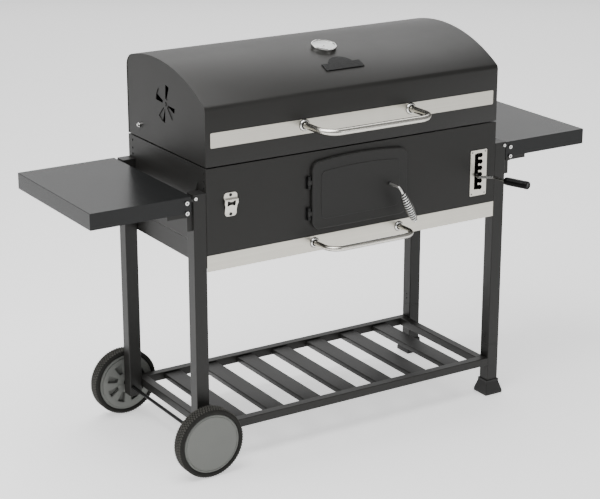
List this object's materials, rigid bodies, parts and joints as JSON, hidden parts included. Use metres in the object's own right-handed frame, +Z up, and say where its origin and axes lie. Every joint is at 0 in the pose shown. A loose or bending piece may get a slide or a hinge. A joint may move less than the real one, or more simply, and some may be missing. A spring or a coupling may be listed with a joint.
{
  "type": "charcoal trolley barbecue",
  "caption": "Charcoal trolley barbecue with domed lid, fire door, ash drawer, height-adjustable coal pan, folding side tables and a slatted rack, wheeled at one end.",
  "frame": {"origin": "on the floor under the middle of the whole barbecue's box", "axes": "+Z up, front faces -Y, +X to the right seen from the front"},
  "size_m": [1.58, 0.6352, 1.0742],
  "materials": {
    "dark_coat": "satin anthracite powder coat",
    "brushed_steel": "brushed along its length",
    "polished_steel": "polished stainless tube",
    "plated_rod": "bright zinc plate",
    "black_hardware": "black coated steel",
    "black_plastic": "moulded black plastic",
    "cast_grate": "seasoned cast iron",
    "dial_face": "pale printed dial",
    "needle_red": "painted needle",
    "gauge_glass": "clear flat glass",
    "name_plate": "blank black plate",
    "tyre_rubber": "matt rubber",
    "grey_plastic": "moulded grey plastic"
  },
  "bodies": {
    "cart": {"front_panel": "dark_coat", "rear_panel": "dark_coat", "left_side_panel": "dark_coat", "right_side_panel": "dark_coat", "cooking_grates": "cast_grate", "grate_ledges": "dark_coat", "left_leg_front": "dark_coat", "left_leg_rear": "dark_coat", "right_leg_front": "dark_coat", "right_leg_rear": "dark_coat", "lower_legs": "dark_coat", "foot_front": "black_plastic", "foot_rear": "black_plastic", "leg_caps": "black_plastic", "rack_front_rail": "dark_coat", "rack_rear_rail": "dark_coat", "rack_end_rails": "dark_coat", "rack_slats": "dark_coat", "axle": "plated_rod", "lid_hinge_bases": "black_hardware", "door_hinges": "black_hardware", "drawer_runners": "dark_coat", "height_plate": "brushed_steel", "bottle_opener": "brushed_steel", "left_brackets": "dark_coat", "right_brackets": "dark_coat", "screws": "black_hardware"},
    "lid": {"lid_shell": "dark_coat", "lid_left_end": "dark_coat", "lid_right_end": "dark_coat", "lid_trim_strip": "brushed_steel", "lid_handle": "polished_steel", "lid_handle_bezels": "polished_steel", "gauge_case": "polished_steel", "gauge_dial": "dial_face", "gauge_glass": "gauge_glass", "name_plate": "name_plate", "lid_hinge_leaves": "black_hardware", "lid_stay_bolts": "polished_steel"},
    "left_vent_disc": {"vent_left": "dark_coat"},
    "right_vent_disc": {"vent_right": "dark_coat"},
    "needle": {"gauge_needle": "needle_red"},
    "door": {"fire_door": "dark_coat"},
    "latch": {"door_handle": "polished_steel", "door_coil": "polished_steel"},
    "drawer": {"drawer_front": "brushed_steel", "ash_drawer": "dark_coat", "drawer_handle": "polished_steel", "drawer_handle_bezels": "polished_steel"},
    "pan": {"coal_pan": "dark_coat"},
    "lever": {"lift_lever": "plated_rod", "lever_grip": "black_plastic"},
    "left_leaf": {"left_table": "dark_coat", "left_table_arms": "dark_coat"},
    "right_leaf": {"right_table": "dark_coat", "right_table_arms": "dark_coat"},
    "front_wheel": {"wheel_front_tyre": "tyre_rubber", "wheel_front_rim": "grey_plastic"},
    "rear_wheel": {"wheel_rear_tyre": "tyre_rubber", "wheel_rear_rim": "grey_plastic"}
  },
  "joints": [
    {"name": "lid_hinge", "type": "hinge", "parent": "cart", "child": "lid", "pos_m": [0, 0.279, 0.8365], "axis": [-1, 0, 0], "range_deg": [0, 95]},
    {"name": "left_vent_turn", "type": "hinge", "parent": "lid", "child": "left_vent_disc", "pos_m": [-0.461, 0.0556, 0.9515], "axis": [1, 0, 0], "range_deg": [-21, 24]},
    {"name": "right_vent_turn", "type": "hinge", "parent": "lid", "child": "right_vent_disc", "pos_m": [0.461, 0.0556, 0.9515], "axis": [1, 0, 0], "range_deg": [-21, 24]},
    {"name": "needle_turn", "type": "hinge", "parent": "lid", "child": "needle", "pos_m": [0, 0.0133, 1.05609], "axis": [0, 0.2067, -0.9784], "range_deg": [0, 240]},
    {"name": "door_hinge", "type": "hinge", "parent": "cart", "child": "door", "pos_m": [-0.158, -0.1645, 0.7], "axis": [0, 0, -1], "range_deg": [0, 110]},
    {"name": "latch_turn", "type": "hinge", "parent": "door", "child": "latch", "pos_m": [0.0974, -0.159, 0.7047], "axis": [0, -1, 0], "range_deg": [0, 90]},
    {"name": "drawer_slide", "type": "slide", "parent": "cart", "child": "drawer", "axis": [0, -1, 0], "range_m": [0, 0.35]},
    {"name": "lever_lift", "type": "hinge", "parent": "cart", "child": "lever", "pos_m": [0, 0.2593, 0.678], "axis": [-1, 0, 0], "range_deg": [-4.7, 7.6]},
    {"name": "pan_lift", "type": "slide", "parent": "cart", "child": "pan", "axis": [0, 0, 1], "range_m": [-0.0172, 0.0275]},
    {"name": "left_table_fold", "type": "hinge", "parent": "cart", "child": "left_leaf", "pos_m": [-0.52, 0.064, 0.7175], "axis": [0, -1, 0], "range_deg": [0, 90]},
    {"name": "right_table_fold", "type": "hinge", "parent": "cart", "child": "right_leaf", "pos_m": [0.52, 0.064, 0.7175], "axis": [0, 1, 0], "range_deg": [0, 90]},
    {"name": "front_wheel_spin", "type": "hinge", "parent": "cart", "child": "front_wheel", "pos_m": [-0.493, -0.201, 0.0958], "axis": [0, 1, 0], "continuous": true},
    {"name": "rear_wheel_spin", "type": "hinge", "parent": "cart", "child": "rear_wheel", "pos_m": [-0.493, 0.2976, 0.0958], "axis": [0, 1, 0], "continuous": true}
  ],
  "couplings": [
    {"joint": "pan_lift", "follows": "lever_lift", "m_per_rad": 0.2023}
  ]
}
